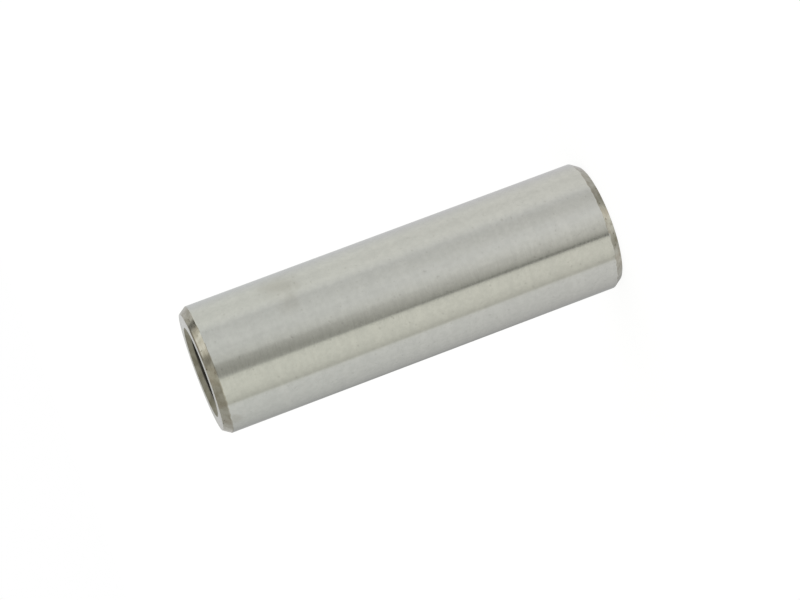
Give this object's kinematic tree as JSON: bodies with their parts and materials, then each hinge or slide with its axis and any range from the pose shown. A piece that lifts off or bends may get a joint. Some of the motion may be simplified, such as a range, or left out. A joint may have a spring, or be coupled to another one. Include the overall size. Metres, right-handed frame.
{
  "type": "gudgeon pin",
  "caption": "Hollow ground steel pin with chamfered ends and a through bore, which carries a piston on its connecting rod.",
  "frame": {"origin": "centre of the lower end face, in the plane that the pin stands on", "axes": "+Z along the pin's axis, from the end that it stands on to the other end"},
  "size_m": [0.022, 0.022, 0.0707],
  "materials": {
    "ground_steel": "ground and polished outside, turned chamfers and faced ends, drilled bore"
  },
  "bodies": {
    "root": {"gudgeon_pin": "ground_steel"}
  },
  "joints": []
}
